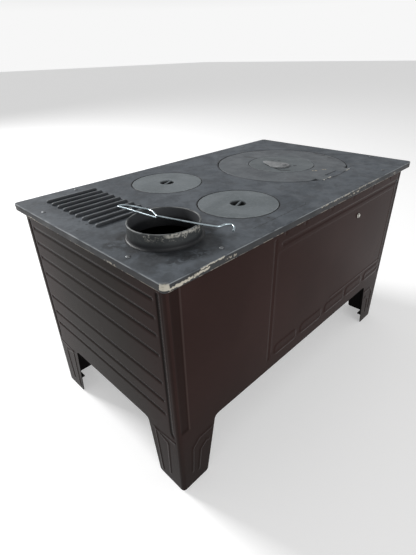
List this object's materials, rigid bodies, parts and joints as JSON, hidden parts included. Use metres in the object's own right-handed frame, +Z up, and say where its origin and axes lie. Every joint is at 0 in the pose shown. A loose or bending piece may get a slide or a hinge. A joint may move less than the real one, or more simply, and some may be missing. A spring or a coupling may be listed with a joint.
{
  "type": "wood burning stove",
  "caption": "Enamelled steel wood burning stove with a cast iron cooking plate, hinged ring, round lids, flue collar, firebox, ash drawer and oven on sheet legs.",
  "frame": {"origin": "on the floor, under the middle of the stove's whole outline with its door handles", "axes": "+Z up; X along the stove, the flue end at +X and the fire end at -X; the doors face -Y and the plain back faces +Y"},
  "size_m": [0.88, 0.551, 0.5435],
  "materials": {
    "cast_plate": "worn dark grey cast iron, slightly mottled",
    "cast_lid": "lighter grey cast iron",
    "bare_steel": "bare, dulled",
    "wire": "bright galvanised",
    "brown_enamel": "glossy vitreous enamel, dark brown",
    "black_sheet": "matt black",
    "grey_enamel": "speckled enamel",
    "fire_casting": "black, heat dulled",
    "chrome": "polished",
    "black_knob": "black phenolic"
  },
  "bodies": {
    "root": {"top_plate": "cast_plate", "flue_collar": "cast_plate", "ring_hinge_pin": "bare_steel", "top_screws": "bare_steel", "top_nuts": "bare_steel", "back_panel": "brown_enamel", "front_panel": "brown_enamel", "flue_end_panel": "brown_enamel", "fire_end_panel": "brown_enamel", "base_sheet": "black_sheet", "corner_angles": "black_sheet", "panel_nuts": "bare_steel", "foot_plates": "black_sheet", "firebox_floor": "fire_casting", "back_lining": "fire_casting", "fire_end_lining": "fire_casting", "oven_side_lining": "fire_casting", "front_lining": "fire_casting", "lining_screw": "bare_steel", "ash_channel": "black_sheet", "fuel_door_frame": "fire_casting", "fuel_hinge_pins": "bare_steel", "oven_box": "black_sheet", "shelf_runners": "black_sheet", "oven_hinge_brackets": "black_sheet", "oven_hinge_pins": "bare_steel"},
    "ring": {"large_ring": "cast_plate"},
    "centre_lid_body": {"centre_lid": "cast_lid", "cover_rivet": "bare_steel"},
    "cover": {"swivel_cover": "bare_steel"},
    "back_lid_body": {"back_lid": "cast_lid"},
    "front_lid_body": {"front_lid": "cast_lid"},
    "lifter": {"lid_lifter": "wire"},
    "grate_body": {"grate": "fire_casting"},
    "fuel_door_body": {"fuel_door": "fire_casting", "fuel_door_shield": "fire_casting"},
    "latch": {"fuel_door_latch": "fire_casting", "latch_grip": "black_knob"},
    "drawer": {"ash_drawer": "black_sheet", "ash_drawer_front": "brown_enamel", "ash_drawer_knob": "black_knob"},
    "air_plate": {"air_slider": "bare_steel"},
    "oven_door_body": {"oven_door": "brown_enamel", "oven_door_liner": "grey_enamel", "oven_door_handle": "chrome"},
    "shelf": {"oven_shelf": "wire"},
    "tray": {"oven_tray": "grey_enamel"}
  },
  "joints": [
    {"name": "ring_hinge", "type": "hinge", "parent": "root", "child": "ring", "pos_m": [-0.199, 0.174, 0.508], "axis": [-1, 0, 0], "range_deg": [0, 100]},
    {"name": "centre_lid_lift", "type": "slide", "parent": "ring", "child": "centre_lid_body", "axis": [0, 0, 1], "range_m": [0, 0.15]},
    {"name": "cover_swivel", "type": "hinge", "parent": "centre_lid_body", "child": "cover", "pos_m": [-0.18, 0.038, 0.513], "axis": [0, 0, -1], "range_deg": [0, 85]},
    {"name": "back_lid_lift", "type": "slide", "parent": "root", "child": "back_lid_body", "axis": [0, 0, 1], "range_m": [0, 0.15]},
    {"name": "front_lid_lift", "type": "slide", "parent": "root", "child": "front_lid_body", "axis": [0, 0, 1], "range_m": [0, 0.15]},
    {"name": "lifter_lift", "type": "slide", "parent": "root", "child": "lifter", "axis": [0, 0, 1], "range_m": [0, 0.2]},
    {"name": "grate_lift", "type": "slide", "parent": "root", "child": "grate_body", "axis": [0, 0, 1], "range_m": [0, 0.15]},
    {"name": "fuel_door_hinge", "type": "hinge", "parent": "root", "child": "fuel_door_body", "pos_m": [-0.374, -0.234, 0.355], "axis": [0, 0, -1], "range_deg": [0, 110]},
    {"name": "fuel_latch_turn", "type": "hinge", "parent": "fuel_door_body", "child": "latch", "pos_m": [-0.14, -0.24, 0.355], "axis": [0, 1, 0], "range_deg": [0, 50]},
    {"name": "ash_drawer_slide", "type": "slide", "parent": "root", "child": "drawer", "axis": [0, -1, 0], "range_m": [0, 0.3]},
    {"name": "air_plate_slide", "type": "slide", "parent": "drawer", "child": "air_plate", "axis": [1, 0, 0], "range_m": [0, 0.015]},
    {"name": "oven_door_hinge", "type": "hinge", "parent": "root", "child": "oven_door_body", "pos_m": [0.17, -0.23, 0.2], "axis": [1, 0, 0], "range_deg": [0, 90]},
    {"name": "oven_shelf_slide", "type": "slide", "parent": "root", "child": "shelf", "axis": [0, -1, 0], "range_m": [0, 0.03]},
    {"name": "oven_tray_slide", "type": "slide", "parent": "root", "child": "tray", "axis": [0, -1, 0], "range_m": [0, 0.03]}
  ]
}
